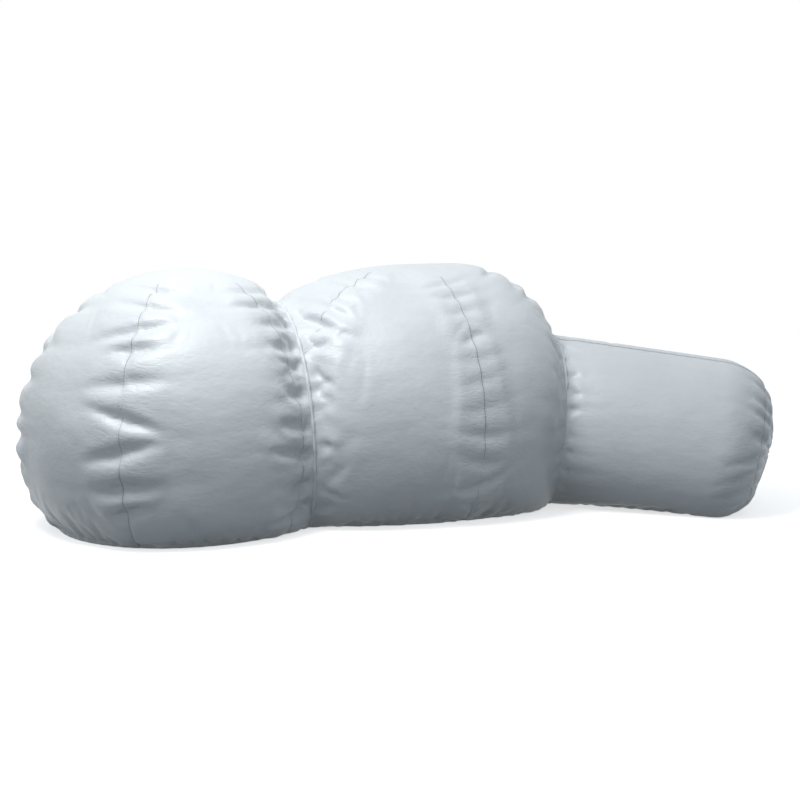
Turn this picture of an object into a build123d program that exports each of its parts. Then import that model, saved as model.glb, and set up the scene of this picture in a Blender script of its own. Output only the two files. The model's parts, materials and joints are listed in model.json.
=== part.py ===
"""Three-chamber blow-up yard snowman, lying on its side on level ground.

Two fabric balls of six gores each and a plain fabric cylinder are sewn into one air space. A fan in the
back of the lower ball fills it, and a zip in the back of the cylinder lets the air out.

Millimetres, +Z up. X runs along the whole chain, and the origin is under the middle of its box. The model
is built with the lower ball's centre over the origin, and every piece is moved home at the end.
"""

import os
from math import atan2, cos, degrees, radians, sin, sqrt

from build123d import *

# ---- driving dimensions: millimetres and degrees -------------------------------------------------------

# chambers
LOWER_RADIUS = 1028.0
LOWER_HEIGHT = 548.0  # of the ball's centre above the ground that flattens it
UPPER_RADIUS = 1015.0
UPPER_BACK_CURVE = 2411.0  # radius of the barrel's side towards the neck
UPPER_FRONT_LENGTH = 1057.0
UPPER_FRONT_ROUND = 748.0
UPPER_HEIGHT = 613.0
BALL_SPACING = 1541.0  # centre to centre
CHAIN_HEADING = 20.6  # plan angle of the two balls' shared axis
TUBE_RADIUS = 608.0
TUBE_LENGTH = 1910.0
TUBE_START = 581.0  # from the upper ball's centre, along the balls' axis
TUBE_END_ROUND = 319.0
TUBE_END_BULGE = 88.0
TUBE_HEADING = -14.4
TUBE_DROOP = 7.8

# cloth
FABRIC = 1.0
SEAM_COUNT = 6
LOWER_FIRST_SEAM = 27.0  # plan angle of one gore seam
UPPER_FIRST_SEAM = -5.0
CROWN_RADIUS = 460.0
END_PANEL_RADIUS = 450.0
TAPE_WIDTH = 30.0
LONG_SEAM_LEAN = 12.0  # tube's long seam, from the top towards the front
BAND_THICKNESS = 2.0
NECK_BAND_REACH = 30.0  # each side of the neck
COLLAR_REACH = 45.0

# fan
FAN_DIRECTION = 112.0  # plan angle, seen from the lower ball's centre
FAN_DIP = 12.0
BARREL_RADIUS = 100.0  # inside
BARREL_WALL = 3.5
BARREL_DEPTH = 88.0
PORT_GAP = 0.5
FLANGE_RADIUS = 132.0
FLANGE_THICKNESS = 4.0
GUARD_THICKNESS = 3.0
PATCH_RADIUS = 160.0
PATCH_THICKNESS = 1.5
FAN_SCREWS = 6
SCREW_CIRCLE = 118.0
SCREW_RADIUS = 2.0
SCREW_GAP = 0.2
SCREW_HEAD_RADIUS = 4.0
SCREW_HEAD = 2.6
GLAND_RADIUS = 8.0
GLAND_BORE = 3.2
GLAND_HEIGHT = 14.0
BLADES = 5
TIP_GAP = 4.0
BLADE_PITCH = 35.0
BLADE_CHORD = 62.0
BLADE_THICKNESS = 2.4
HUB_RADIUS = 28.0
HUB_LENGTH = 32.0
HUB_SETBACK = 18.0  # hub's face behind the flange seat
SHAFT_RADIUS = 4.0
SHAFT_RUNNING_GAP = 0.04
NUT_FLATS = 13.0
NUT_HEIGHT = 5.0
MOTOR_RADIUS = 36.0
MOTOR_LENGTH = 62.0
MOTOR_WALL = 2.0
MOTOR_SETBACK = 56.0
BEARING_RADIUS = 11.0
BEARING_LENGTH = 8.0
ROTOR_RADIUS = 22.0
ROTOR_LENGTH = 34.0
AIR_GAP = 1.0
STRUTS = 4
STRUT_WIDTH = 8.0

# zip
ZIP_LENGTH = 700.0
ZIP_TRAVEL = 600.0
ZIP_STATION = 1180.0  # middle of the zip, along the tube
ZIP_SLOT = 10.0
ZIP_TAPE_WIDTH = 28.0
ZIP_TAPE_GAP = 1.0
COIL_WIDTH = 3.3
COIL_GAP = 0.4
COIL_HEIGHT = 2.5
SLIDER_LENGTH = 22.0
SLIDER_WALL = 1.6
SLIDER_GAP = 0.5
PULL_LENGTH = 38.0
PULL_WIDTH = 8.0
PULL_PIN_RADIUS = 1.0
PULL_THICKNESS = 1.6
EAR_WIDTH = 1.6
STOP_LENGTH = 6.0

# ground anchors
STRAP_WIDTH = 40.0
STRAP_THICKNESS = 2.0
STRAP_CLIMB = 80.0  # how far up the wall the strap is sewn
STRAP_REACH = 45.0  # grommet's centre beyond the widest part of the chamber
EYE_RADIUS = 8.0
EYE_WALL = 1.2
EYE_RIM = 6.0
EYE_FLANGE = 1.2
LOWER_ANCHOR = 155.0  # plan angles
UPPER_ANCHOR = 110.0
TUBE_ANCHOR_STATION = 1250.0

UP = Vector(0, 0, 1)
FAR = 4000.0  # longer than any chamber

os.makedirs("parts", exist_ok=True)
pieces = {}


def heading(angle, dip=0.0):
    """Unit vector at a plan angle, dipping below level."""
    level = cos(radians(dip))
    return Vector(level * cos(radians(angle)), level * sin(radians(angle)), -sin(radians(dip)))


def upright(centre, along):
    """Plane through a chamber's axis: X runs along the axis and Y points up."""
    return Plane(origin=centre, x_dir=along, z_dir=along.cross(UP))


# ---- where the chambers lie ----------------------------------------------------------------------------

rise = UPPER_HEIGHT - LOWER_HEIGHT
plan_spacing = sqrt(BALL_SPACING**2 - rise**2)
lower_centre = Vector(0, 0, LOWER_HEIGHT)
upper_centre = heading(CHAIN_HEADING) * plan_spacing + UP * UPPER_HEIGHT
chain = (upper_centre - lower_centre).normalized()
tube_start = upper_centre + chain * TUBE_START
tube_axis = heading(TUBE_HEADING, TUBE_DROOP)
tube_rear = UP.cross(tube_axis).normalized()

# the neck is where the lower ball's circle and the upper ball's side cross, in the plane of their axis
side_drop = UPPER_RADIUS - UPPER_BACK_CURVE
side_distance = sqrt(BALL_SPACING**2 + side_drop**2)
chord_along = (LOWER_RADIUS**2 - UPPER_BACK_CURVE**2 + side_distance**2) / (2 * side_distance)
chord_half = sqrt(LOWER_RADIUS**2 - chord_along**2)
neck_station = (chord_along * BALL_SPACING - chord_half * side_drop) / side_distance
neck_plane = Plane(origin=lower_centre + chain * neck_station, z_dir=chain)


# ---- chambers as plain solids, grown or shrunk by a thickness ------------------------------------------


def lower_ball(grow=0.0, floor=0.0):
    """The lower ball, a sphere cut level at the floor."""
    with BuildPart() as ball:
        with Locations(lower_centre):
            Sphere(LOWER_RADIUS + grow)
        split(bisect_by=Plane.XY.offset(floor), keep=Keep.TOP)
    return ball.part


def upper_ball(grow=0.0, floor=0.0):
    """The upper ball, a barrel about the balls' axis. It reaches back inside the lower ball."""
    radius = UPPER_RADIUS + grow
    back = (-BALL_SPACING, sqrt((UPPER_BACK_CURVE + grow) ** 2 - BALL_SPACING**2) + side_drop)
    front = UPPER_FRONT_LENGTH + grow
    corner = UPPER_FRONT_ROUND + grow
    with BuildPart() as ball:
        with BuildSketch(upright(upper_centre, chain)):
            with BuildLine():
                TangentArc((0, radius), back, tangent=(-1, 0))
                Line((0, radius), (front - corner, radius))
                TangentArc((front - corner, radius), (front, radius - corner), tangent=(1, 0))
                Polyline((front, radius - corner), (front, 0), (-BALL_SPACING, 0), back)
            make_face()
        revolve(axis=Axis(upper_centre, chain))
        split(bisect_by=Plane.XY.offset(floor), keep=Keep.TOP)
    return ball.part


def tube(grow=0.0, floor=0.0):
    """The cylinder with its rounded, slightly domed end."""
    radius = TUBE_RADIUS + grow
    shoulder = TUBE_LENGTH - TUBE_END_ROUND
    corner = TUBE_END_ROUND + grow
    flat = radius - corner
    tip = TUBE_LENGTH + TUBE_END_BULGE + grow
    with BuildPart() as body:
        with BuildSketch(upright(tube_start, tube_axis)):
            with BuildLine():
                Polyline((0, 0), (0, radius), (shoulder, radius))
                TangentArc((shoulder, radius), (shoulder + corner, flat), tangent=(1, 0))
                TangentArc((tip, 0), (shoulder + corner, flat), tangent=(0, 1))
                Line((tip, 0), (0, 0))
            make_face()
        revolve(axis=Axis(tube_start, tube_axis))
        split(bisect_by=Plane.XY.offset(floor), keep=Keep.TOP)
    return body.part


BELOW = -10.0  # a cutter's floor, safely under the ground
lower_outside = lower_ball()
upper_outside = upper_ball()
tube_outside = tube()
lower_cutter = lower_ball(floor=BELOW)
upper_cutter = upper_ball(floor=BELOW)
tube_cutter = tube(floor=BELOW)


def cut_down(solid, *cutters):
    """A solid with the cutters taken away."""
    with BuildPart() as rest:
        add(solid)
        for cutter in cutters:
            add(cutter, mode=Mode.SUBTRACT)
    return rest.part


def common(solid, *others):
    """What the solids share."""
    with BuildPart() as shared:
        add(solid)
        for other in others:
            add(other, mode=Mode.INTERSECT)
    return shared.part


def main_piece(part):
    """The largest solid of a part, without the scraps that a neck leaves at its edge."""
    with BuildPart() as kept:
        add(part.solids().sort_by(SortBy.VOLUME)[-1])
    return kept.part


# ---- the fan's own frame: Z points out of the ball, and zero is the flange's seat ----------------------

port_radius = BARREL_RADIUS + BARREL_WALL + PORT_GAP
fan_out = heading(FAN_DIRECTION, FAN_DIP)
seat = sqrt((LOWER_RADIUS + PATCH_THICKNESS) ** 2 - port_radius**2)
fan_plane = Plane(origin=lower_centre + fan_out * seat, x_dir=UP.cross(fan_out), z_dir=fan_out)
ring_top = sqrt((LOWER_RADIUS - FABRIC) ** 2 - FLANGE_RADIUS**2) - seat - PORT_GAP
ring_bottom = ring_top - FLANGE_THICKNESS
guard_face = FLANGE_THICKNESS + GUARD_THICKNESS


def fan_disc(radius, low, high, centres=((0, 0),), bore=0.0):
    """Round pieces along the fan's axis, from one height to another."""
    with BuildPart() as disc:
        with BuildSketch(fan_plane.offset(low)):
            with Locations(*centres):
                Circle(radius)
                if bore:
                    Circle(bore, mode=Mode.SUBTRACT)
        extrude(amount=high - low)
    return disc.part


def on_circle(radius, count, first=0.0):
    """Points evenly spaced on a circle."""
    turns = [radians(first + 360 * i / count) for i in range(count)]
    return [(radius * cos(a), radius * sin(a)) for a in turns]


screw_points = on_circle(SCREW_CIRCLE, FAN_SCREWS)
gland_point = on_circle(SCREW_CIRCLE, 1, -90.0)
port_cutter = fan_disc(port_radius, -FLANGE_RADIUS, FLANGE_RADIUS)
screw_cutter = fan_disc(SCREW_RADIUS + SCREW_GAP, -FLANGE_RADIUS / 2, guard_face, screw_points)
gland_cutter = fan_disc(GLAND_RADIUS + SCREW_GAP, -FLANGE_RADIUS / 2, guard_face, gland_point)


# ---- the zip's own frame: X along the tube, Z out of its rear wall -------------------------------------

zip_origin = tube_start + tube_axis * ZIP_STATION + tube_rear * TUBE_RADIUS
zip_plane = Plane(origin=zip_origin, x_dir=tube_axis, z_dir=tube_rear)
zip_tape_base = 0.1


def zip_block(x_range, y_range, z_range):
    """Box between three pairs of limits in the zip's frame."""
    length = x_range[1] - x_range[0]
    width = y_range[1] - y_range[0]
    middle = ((x_range[0] + x_range[1]) / 2, (y_range[0] + y_range[1]) / 2)
    with BuildPart() as block:
        with BuildSketch(zip_plane.offset(z_range[0])):
            with Locations(middle):
                Rectangle(length, width)
        extrude(amount=z_range[1] - z_range[0])
    return block.part


# ---- balls: six gores, a crown patch, a floor panel and the tapes inside the seams ---------------------


def wedge(centre, first, last):
    """Upright prism between two plan angles at a ball's centre."""
    corners = [(centre.X + FAR * cos(radians(a)), centre.Y + FAR * sin(radians(a))) for a in (first, last)]
    with BuildPart() as prism:
        with BuildSketch(Plane.XY.offset(BELOW)):
            with BuildLine():
                Polyline((centre.X, centre.Y), *corners, close=True)
            make_face()
        extrude(amount=FAR)
    return prism.part


def crown_post(centre, radius):
    """Upright post through the top of a ball."""
    with BuildPart() as post:
        with BuildSketch(Plane.XY.offset(centre.Z)):
            with Locations((centre.X, centre.Y)):
                Circle(radius)
        extrude(amount=FAR)
    return post.part


def seam_slab(centre, angle):
    """Upright slab as wide as a tape, along one seam's plan angle."""
    start = CROWN_RADIUS - TAPE_WIDTH / 2
    with BuildPart() as slab:
        with BuildSketch(Plane(origin=(centre.X, centre.Y, 2 * FABRIC), x_dir=heading(angle), z_dir=UP)):
            with Locations((start + FAR / 2, 0)):
                Rectangle(FAR, TAPE_WIDTH)
        extrude(amount=FAR)
    return slab.part


def sew_ball(name, centre, shape, first_seam, neighbours, neck_side):
    """All the cloth of one ball. Its gores run from the crown patch down to the floor panel."""
    walls = cut_down(shape(), shape(-FABRIC, BELOW), *neighbours)
    lining = cut_down(shape(-FABRIC), shape(-2 * FABRIC, BELOW), *neighbours)
    post = crown_post(centre, CROWN_RADIUS)
    step = 360 / SEAM_COUNT
    for number in range(SEAM_COUNT):
        start = first_seam + step * number
        gore = cut_down(common(walls, wedge(centre, start, start + step)), post)
        tape = common(lining, seam_slab(centre, start))
        pieces[f"{name}_gore_{number + 1}"] = main_piece(gore)
        pieces[f"{name}_seam_tape_{number + 1}"] = main_piece(tape)
    pieces[f"{name}_crown_patch"] = common(walls, post)
    with BuildPart() as floor:
        add(shape(-FABRIC))
        split(bisect_by=Plane.XY.offset(FABRIC), keep=Keep.BOTTOM)
        split(bisect_by=neck_plane, keep=neck_side)
    pieces[f"{name}_floor_panel"] = floor.part


sew_ball("lower", lower_centre, lower_ball, LOWER_FIRST_SEAM, [upper_cutter], Keep.BOTTOM)
sew_ball("upper", upper_centre, upper_ball, UPPER_FIRST_SEAM, [lower_cutter, tube_cutter], Keep.TOP)


# ---- cylinder: one wrapped sheet, an end panel and its long seam ---------------------------------------

tube_walls = cut_down(tube(), tube(-FABRIC, FABRIC), upper_cutter)
corner_angle = sqrt(1 - ((END_PANEL_RADIUS - TUBE_RADIUS + TUBE_END_ROUND) / TUBE_END_ROUND) ** 2)
rim_station = TUBE_LENGTH - TUBE_END_ROUND + TUBE_END_ROUND * corner_angle
rim_plane = Plane(origin=tube_start + tube_axis * rim_station, z_dir=tube_axis)
slot_half = ZIP_LENGTH / 2 - STOP_LENGTH

with BuildPart() as tube_wall:
    add(tube_walls)
    split(bisect_by=rim_plane, keep=Keep.BOTTOM)
    slot = zip_block((-slot_half, slot_half), (-ZIP_SLOT / 2, ZIP_SLOT / 2), (-TUBE_RADIUS / 4, ZIP_SLOT))
    add(slot, mode=Mode.SUBTRACT)
pieces["hat_tube_wall"] = tube_wall.part

with BuildPart() as end_panel:
    add(tube_walls)
    split(bisect_by=rim_plane, keep=Keep.TOP)
pieces["hat_end_panel"] = end_panel.part

seam_out = Vector(0, 0, 1).rotate(Axis((0, 0, 0), tube_axis), LONG_SEAM_LEAN)
long_seam_plane = Plane(origin=tube_start, x_dir=tube_axis, z_dir=seam_out)
with BuildPart() as seam_strip:
    with BuildSketch(long_seam_plane):
        with Locations((rim_station / 2, 0)):
            Rectangle(rim_station, TAPE_WIDTH)
    extrude(amount=FAR)
outer_sleeve = cut_down(tube(FABRIC), tube_cutter, upper_ball(COLLAR_REACH, BELOW))
pieces["hat_long_seam_tape"] = common(outer_sleeve, seam_strip.part)


# ---- webbing bands over the two necks ------------------------------------------------------------------

with BuildPart() as neck_slab:
    with BuildSketch(neck_plane.offset(-NECK_BAND_REACH)):
        Circle(FAR / 2)
    extrude(amount=2 * NECK_BAND_REACH)

with BuildPart() as neck_band:
    add(lower_ball(BAND_THICKNESS))
    add(upper_ball(BAND_THICKNESS))
    add(lower_cutter, mode=Mode.SUBTRACT)
    add(upper_cutter, mode=Mode.SUBTRACT)
    add(neck_slab.part, mode=Mode.INTERSECT)
pieces["neck_band"] = neck_band.part

collar_sleeve = cut_down(tube(BAND_THICKNESS), tube_cutter, upper_cutter)
pieces["hat_collar_band"] = common(collar_sleeve, upper_ball(COLLAR_REACH))


# ---- fan -----------------------------------------------------------------------------------------------

fan_gore = f"lower_gore_{int((FAN_DIRECTION - LOWER_FIRST_SEAM) % 360 // (360 / SEAM_COUNT)) + 1}"
pieces[fan_gore] = cut_down(pieces[fan_gore], port_cutter, screw_cutter, gland_cutter)

patch_blank = cut_down(lower_ball(PATCH_THICKNESS), lower_cutter, port_cutter, screw_cutter, gland_cutter)
pieces["fan_patch"] = common(patch_blank, fan_disc(PATCH_RADIUS, -FLANGE_RADIUS / 2, FLANGE_RADIUS / 2))

motor_front = -MOTOR_SETBACK
motor_back = motor_front - MOTOR_LENGTH
strut_top = -BARREL_DEPTH + STRUT_WIDTH * 1.5
mount_bore = MOTOR_RADIUS + AIR_GAP / 10

with BuildPart() as fan_housing:
    add(fan_disc(FLANGE_RADIUS, 0, FLANGE_THICKNESS))
    add(fan_disc(BARREL_RADIUS + BARREL_WALL, -BARREL_DEPTH, 0))
    add(fan_disc(BARREL_RADIUS, -BARREL_DEPTH, FLANGE_THICKNESS), mode=Mode.SUBTRACT)
    add(fan_disc(mount_bore + BARREL_WALL, -BARREL_DEPTH, strut_top))
    with BuildSketch(fan_plane.offset(-BARREL_DEPTH)):
        with PolarLocations((MOTOR_RADIUS + BARREL_RADIUS + BARREL_WALL) / 2, STRUTS, start_angle=45):
            Rectangle(BARREL_RADIUS - MOTOR_RADIUS, STRUT_WIDTH)
    extrude(amount=STRUT_WIDTH)
    add(fan_disc(mount_bore, -BARREL_DEPTH, strut_top), mode=Mode.SUBTRACT)
    add(screw_cutter, mode=Mode.SUBTRACT)
    add(gland_cutter, mode=Mode.SUBTRACT)
pieces["fan_housing"] = fan_housing.part

clamp_blank = fan_disc(FLANGE_RADIUS, ring_bottom, ring_top, bore=port_radius)
pieces["fan_clamp_ring"] = cut_down(clamp_blank, screw_cutter, gland_cutter)

grille_rings = (16.0, 37.0, 58.0, 79.0)
ring_width = 2.6
with BuildPart() as guard:
    with BuildSketch(fan_plane.offset(FLANGE_THICKNESS)):
        Circle(FLANGE_RADIUS)
        Circle(BARREL_RADIUS, mode=Mode.SUBTRACT)
        for ring in grille_rings:
            with BuildSketch(mode=Mode.ADD):
                Circle(ring + ring_width / 2)
                Circle(ring - ring_width / 2, mode=Mode.SUBTRACT)
        with PolarLocations((grille_rings[0] + BARREL_RADIUS) / 2, 2 * STRUTS):
            Rectangle(BARREL_RADIUS - grille_rings[0] + ring_width, ring_width)
    extrude(amount=GUARD_THICKNESS)
    add(screw_cutter, mode=Mode.SUBTRACT)
    add(gland_cutter, mode=Mode.SUBTRACT)
pieces["intake_guard"] = guard.part

with BuildPart() as flange_screws:
    add(fan_disc(SCREW_RADIUS, ring_bottom - SCREW_HEAD, guard_face, screw_points))
    add(fan_disc(SCREW_HEAD_RADIUS, guard_face, guard_face + SCREW_HEAD, screw_points))
pieces["flange_screws"] = flange_screws.part

with BuildPart() as gland:
    add(fan_disc(GLAND_RADIUS, ring_bottom - SCREW_HEAD, guard_face, gland_point))
    with BuildSketch(fan_plane.offset(guard_face)):
        with Locations(gland_point[0]):
            RegularPolygon(GLAND_RADIUS + EYE_RIM / 2, 6)
    extrude(amount=GLAND_HEIGHT / 2)
    add(fan_disc(GLAND_RADIUS - EYE_WALL, guard_face, guard_face + GLAND_HEIGHT, gland_point))
    bore = fan_disc(GLAND_BORE, ring_bottom - FLANGE_RADIUS, guard_face + FLANGE_RADIUS, gland_point)
    add(bore, mode=Mode.SUBTRACT)
pieces["cord_gland"] = gland.part

bearing_low = motor_back + MOTOR_WALL
bearing_high = motor_front - MOTOR_WALL - BEARING_LENGTH
boss_radius = BEARING_RADIUS + BARREL_WALL
shaft_hole = SHAFT_RADIUS + AIR_GAP

with BuildPart() as motor_can:
    add(fan_disc(MOTOR_RADIUS, motor_back + MOTOR_WALL, motor_front))
    add(fan_disc(MOTOR_RADIUS - MOTOR_WALL, motor_back, motor_front - MOTOR_WALL), mode=Mode.SUBTRACT)
    add(fan_disc(boss_radius, bearing_high, motor_front - MOTOR_WALL))
    add(fan_disc(BEARING_RADIUS, bearing_high, motor_front - MOTOR_WALL), mode=Mode.SUBTRACT)
    add(fan_disc(shaft_hole, motor_back, motor_front), mode=Mode.SUBTRACT)
pieces["motor_can"] = motor_can.part

with BuildPart() as motor_cap:
    add(fan_disc(MOTOR_RADIUS, motor_back, motor_back + MOTOR_WALL))
    add(fan_disc(boss_radius, bearing_low, bearing_low + BEARING_LENGTH, bore=BEARING_RADIUS))
pieces["motor_end_cap"] = motor_cap.part

bearing_bore = SHAFT_RADIUS + SHAFT_RUNNING_GAP
pieces["motor_rear_bush"] = fan_disc(
    BEARING_RADIUS, bearing_low, bearing_low + BEARING_LENGTH, bore=bearing_bore
)
pieces["motor_front_bush"] = fan_disc(
    BEARING_RADIUS, bearing_high, bearing_high + BEARING_LENGTH, bore=bearing_bore
)
rotor_middle = (motor_front + motor_back) / 2
rotor_low = rotor_middle - ROTOR_LENGTH / 2
rotor_high = rotor_middle + ROTOR_LENGTH / 2
pieces["motor_stator"] = fan_disc(
    MOTOR_RADIUS - MOTOR_WALL, rotor_low, rotor_high, bore=ROTOR_RADIUS + AIR_GAP
)
pieces["motor_rotor"] = fan_disc(ROTOR_RADIUS, rotor_low, rotor_high, bore=SHAFT_RADIUS)
nut_top = -HUB_SETBACK + NUT_HEIGHT
pieces["motor_shaft"] = fan_disc(SHAFT_RADIUS, bearing_low + AIR_GAP, nut_top + AIR_GAP)

hub_back = -HUB_SETBACK - HUB_LENGTH
tip_radius = BARREL_RADIUS - TIP_GAP
blade_root = HUB_RADIUS - BLADE_CHORD / 4
blade_span = BARREL_RADIUS - blade_root
blade_middle = blade_root + blade_span / 2
hub_plane = fan_plane.offset(-HUB_SETBACK - HUB_LENGTH / 2)
with BuildPart() as impeller:
    with Locations(hub_plane):
        with PolarLocations(blade_middle, BLADES):
            Box(blade_span, BLADE_CHORD, BLADE_THICKNESS, rotation=(BLADE_PITCH, 0, 0))
    add(fan_disc(tip_radius, hub_back - BLADE_CHORD, BLADE_CHORD), mode=Mode.INTERSECT)
    add(fan_disc(HUB_RADIUS, hub_back, -HUB_SETBACK))
    add(fan_disc(SHAFT_RADIUS, hub_back - BLADE_CHORD, BLADE_CHORD), mode=Mode.SUBTRACT)
pieces["impeller"] = impeller.part

with BuildPart() as nut:
    with BuildSketch(fan_plane.offset(-HUB_SETBACK)):
        RegularPolygon(NUT_FLATS / 2, 6, major_radius=False)
        Circle(SHAFT_RADIUS, mode=Mode.SUBTRACT)
    extrude(amount=NUT_HEIGHT)
pieces["impeller_nut"] = nut.part


# ---- zip: two tapes, two coils, slider, pull and end stops ---------------------------------------------

half_zip = ZIP_LENGTH / 2
tape_top = zip_tape_base + FABRIC
coil_top = tape_top + COIL_HEIGHT
coil_outer = COIL_GAP / 2 + COIL_WIDTH
for side, sign in (("upper", -1), ("lower", 1)):
    tape_edges = sorted((sign * ZIP_TAPE_GAP / 2, sign * (ZIP_TAPE_GAP / 2 + ZIP_TAPE_WIDTH)))
    coil_edges = sorted((sign * COIL_GAP / 2, sign * coil_outer))
    coil_half = half_zip - STOP_LENGTH
    pieces[f"zip_{side}_tape"] = zip_block((-half_zip, half_zip), tape_edges, (zip_tape_base, tape_top))
    pieces[f"zip_{side}_coil"] = zip_block((-coil_half, coil_half), coil_edges, (tape_top, coil_top))

with BuildPart() as stops:
    for sign in (-1, 1):
        ends = sorted((sign * half_zip, sign * (half_zip - STOP_LENGTH)))
        add(zip_block(ends, (-coil_outer, coil_outer), (tape_top, coil_top + SLIDER_GAP)))
pieces["zip_end_stops"] = stops.part

slider_start = ZIP_TRAVEL / 2
slider_ends = (slider_start, slider_start + SLIDER_LENGTH)
slider_middle = slider_start + SLIDER_LENGTH / 2
plate_low = coil_top + SLIDER_GAP
plate_top = plate_low + SLIDER_WALL
slider_half = coil_outer + SLIDER_GAP + SLIDER_WALL
pin_ring = 2.3 * PULL_PIN_RADIUS
pin_height = plate_top + pin_ring + SLIDER_GAP
ear_inside = PULL_WIDTH / 4 + SLIDER_GAP
pin_plane = Plane(
    origin=zip_plane.from_local_coords((slider_middle, 0, pin_height)), x_dir=tube_axis, z_dir=zip_plane.y_dir
)


def pin_disc(radius, low, high, bore=0.0):
    """Round piece along the pull's pin."""
    with BuildPart() as disc:
        with BuildSketch(pin_plane.offset(low)):
            Circle(radius)
            if bore:
                Circle(bore, mode=Mode.SUBTRACT)
        extrude(amount=high - low)
    return disc.part


ear_half = ear_inside + EAR_WIDTH
ear_x = (slider_middle - pin_ring, slider_middle + pin_ring)
with BuildPart() as slider:
    add(zip_block(slider_ends, (-slider_half, slider_half), (tape_top + SLIDER_GAP, plate_top)))
    channel = (-coil_outer - SLIDER_GAP, coil_outer + SLIDER_GAP)
    add(zip_block(slider_ends, channel, (tape_top, plate_low)), mode=Mode.SUBTRACT)
    for sign in (-1, 1):
        ear_y = sorted((sign * ear_inside, sign * ear_half))
        add(zip_block(ear_x, ear_y, (plate_top, pin_height)))
        add(pin_disc(pin_ring, ear_y[0], ear_y[1]))
    add(pin_disc(PULL_PIN_RADIUS, -ear_half, ear_half))
pieces["zip_slider"] = slider.part

pull_eye = PULL_PIN_RADIUS + SHAFT_RUNNING_GAP
pull_top = pin_height + PULL_THICKNESS / 2
pull_low = pin_height - PULL_THICKNESS / 2
neck_end = slider_middle - 2.5 * pin_ring
pull_tip = slider_middle - PULL_LENGTH
with BuildPart() as pull:
    add(pin_disc(pin_ring, -PULL_WIDTH / 4, PULL_WIDTH / 4))
    add(zip_block((neck_end, slider_middle), (-PULL_WIDTH / 4, PULL_WIDTH / 4), (pull_low, pull_top)))
    add(zip_block((pull_tip, neck_end), (-PULL_WIDTH / 2, PULL_WIDTH / 2), (pull_low, pull_top)))
    add(pin_disc(pull_eye, -PULL_WIDTH, PULL_WIDTH), mode=Mode.SUBTRACT)
pieces["zip_pull"] = pull.part


# ---- ground anchors: a webbing strap at each chamber's foot, with a brass grommet ----------------------

strap_base = EYE_FLANGE
strap_top = strap_base + STRAP_THICKNESS
eye_top = strap_top + EYE_FLANGE
anchor_points = []


def anchor_strap(root, angle, widest, skin, body):
    """Strap sewn up a chamber's wall, lying out past the chamber's widest part."""
    foot = Plane(origin=(root.X, root.Y, 0), x_dir=heading(angle), z_dir=UP)
    eye = widest + STRAP_REACH
    end = eye + STRAP_WIDTH / 2
    with BuildPart() as strap:
        with BuildSketch(foot.offset(strap_base)):
            with Locations((end / 2, 0)):
                Rectangle(end, STRAP_WIDTH)
        extrude(amount=STRAP_CLIMB)
        add(skin, mode=Mode.INTERSECT)
        with BuildSketch(foot.offset(strap_base)):
            with Locations((end / 2, 0)):
                Rectangle(end, STRAP_WIDTH)
            with Locations((eye, 0)):
                Circle(EYE_RADIUS + EYE_WALL, mode=Mode.SUBTRACT)
        extrude(amount=STRAP_THICKNESS)
        add(body, mode=Mode.SUBTRACT)
    anchor_points.append(foot.from_local_coords((eye, 0, eye_top / 2)))
    return strap.part


tube_anchor_root = tube_start + tube_axis * TUBE_ANCHOR_STATION
tube_rear_angle = degrees(atan2(tube_rear.Y, tube_rear.X))
pieces["lower_anchor_strap"] = anchor_strap(
    lower_centre, LOWER_ANCHOR, LOWER_RADIUS, lower_ball(STRAP_THICKNESS), lower_cutter
)
pieces["upper_anchor_strap"] = anchor_strap(
    upper_centre, UPPER_ANCHOR, UPPER_RADIUS, upper_ball(STRAP_THICKNESS), upper_cutter
)
pieces["hat_anchor_strap"] = anchor_strap(
    tube_anchor_root, tube_rear_angle, TUBE_RADIUS, tube(STRAP_THICKNESS), tube_cutter
)

eye_outside = EYE_RADIUS + EYE_WALL
with BuildPart() as grommets:
    for point in anchor_points:
        with BuildSketch(Plane(origin=(point.X, point.Y, 0), z_dir=UP)):
            Circle(eye_outside + EYE_RIM)
        extrude(amount=EYE_FLANGE)
        with BuildSketch(Plane(origin=(point.X, point.Y, strap_top), z_dir=UP)):
            Circle(eye_outside + EYE_RIM)
        extrude(amount=EYE_FLANGE)
        with BuildSketch(Plane(origin=(point.X, point.Y, 0), z_dir=UP)):
            Circle(eye_outside)
        extrude(amount=eye_top)
        with BuildSketch(Plane(origin=(point.X, point.Y, 0), z_dir=UP)):
            Circle(EYE_RADIUS)
        extrude(amount=eye_top, mode=Mode.SUBTRACT)
pieces["grommets"] = grommets.part


# ---- move home and write -------------------------------------------------------------------------------

whole = pieces["lower_floor_panel"].bounding_box()
for piece in pieces.values():
    whole = whole.add(piece.bounding_box())
middle = whole.center()
home = Location((-middle.X, -middle.Y, 0))
for name, piece in pieces.items():
    placed = piece.moved(home)
    placed.label = name
    export_step(placed, f"parts/{name}.step")


def at_home(point):
    """A point in the finished frame, in metres."""
    return [round(v / 1000, 6) for v in (point.X - middle.X, point.Y - middle.Y, point.Z)]


print("nodes", len(pieces))
print("box", [round(v, 1) for v in (whole.size.X, whole.size.Y, whole.size.Z)])
print("fan seat", at_home(fan_plane.origin), "axis", [round(v, 6) for v in fan_out])
print("zip axis", [round(v, 6) for v in tube_axis], "out", [round(v, 6) for v in tube_rear])
print("zip down", [round(v, 6) for v in zip_plane.y_dir], "pull pin", at_home(pin_plane.origin))
print("lower centre", at_home(lower_centre), "upper centre", at_home(upper_centre))
print("tube start", at_home(tube_start))
for point in anchor_points:
    print("anchor", at_home(point))
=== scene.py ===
import json
import math

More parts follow.
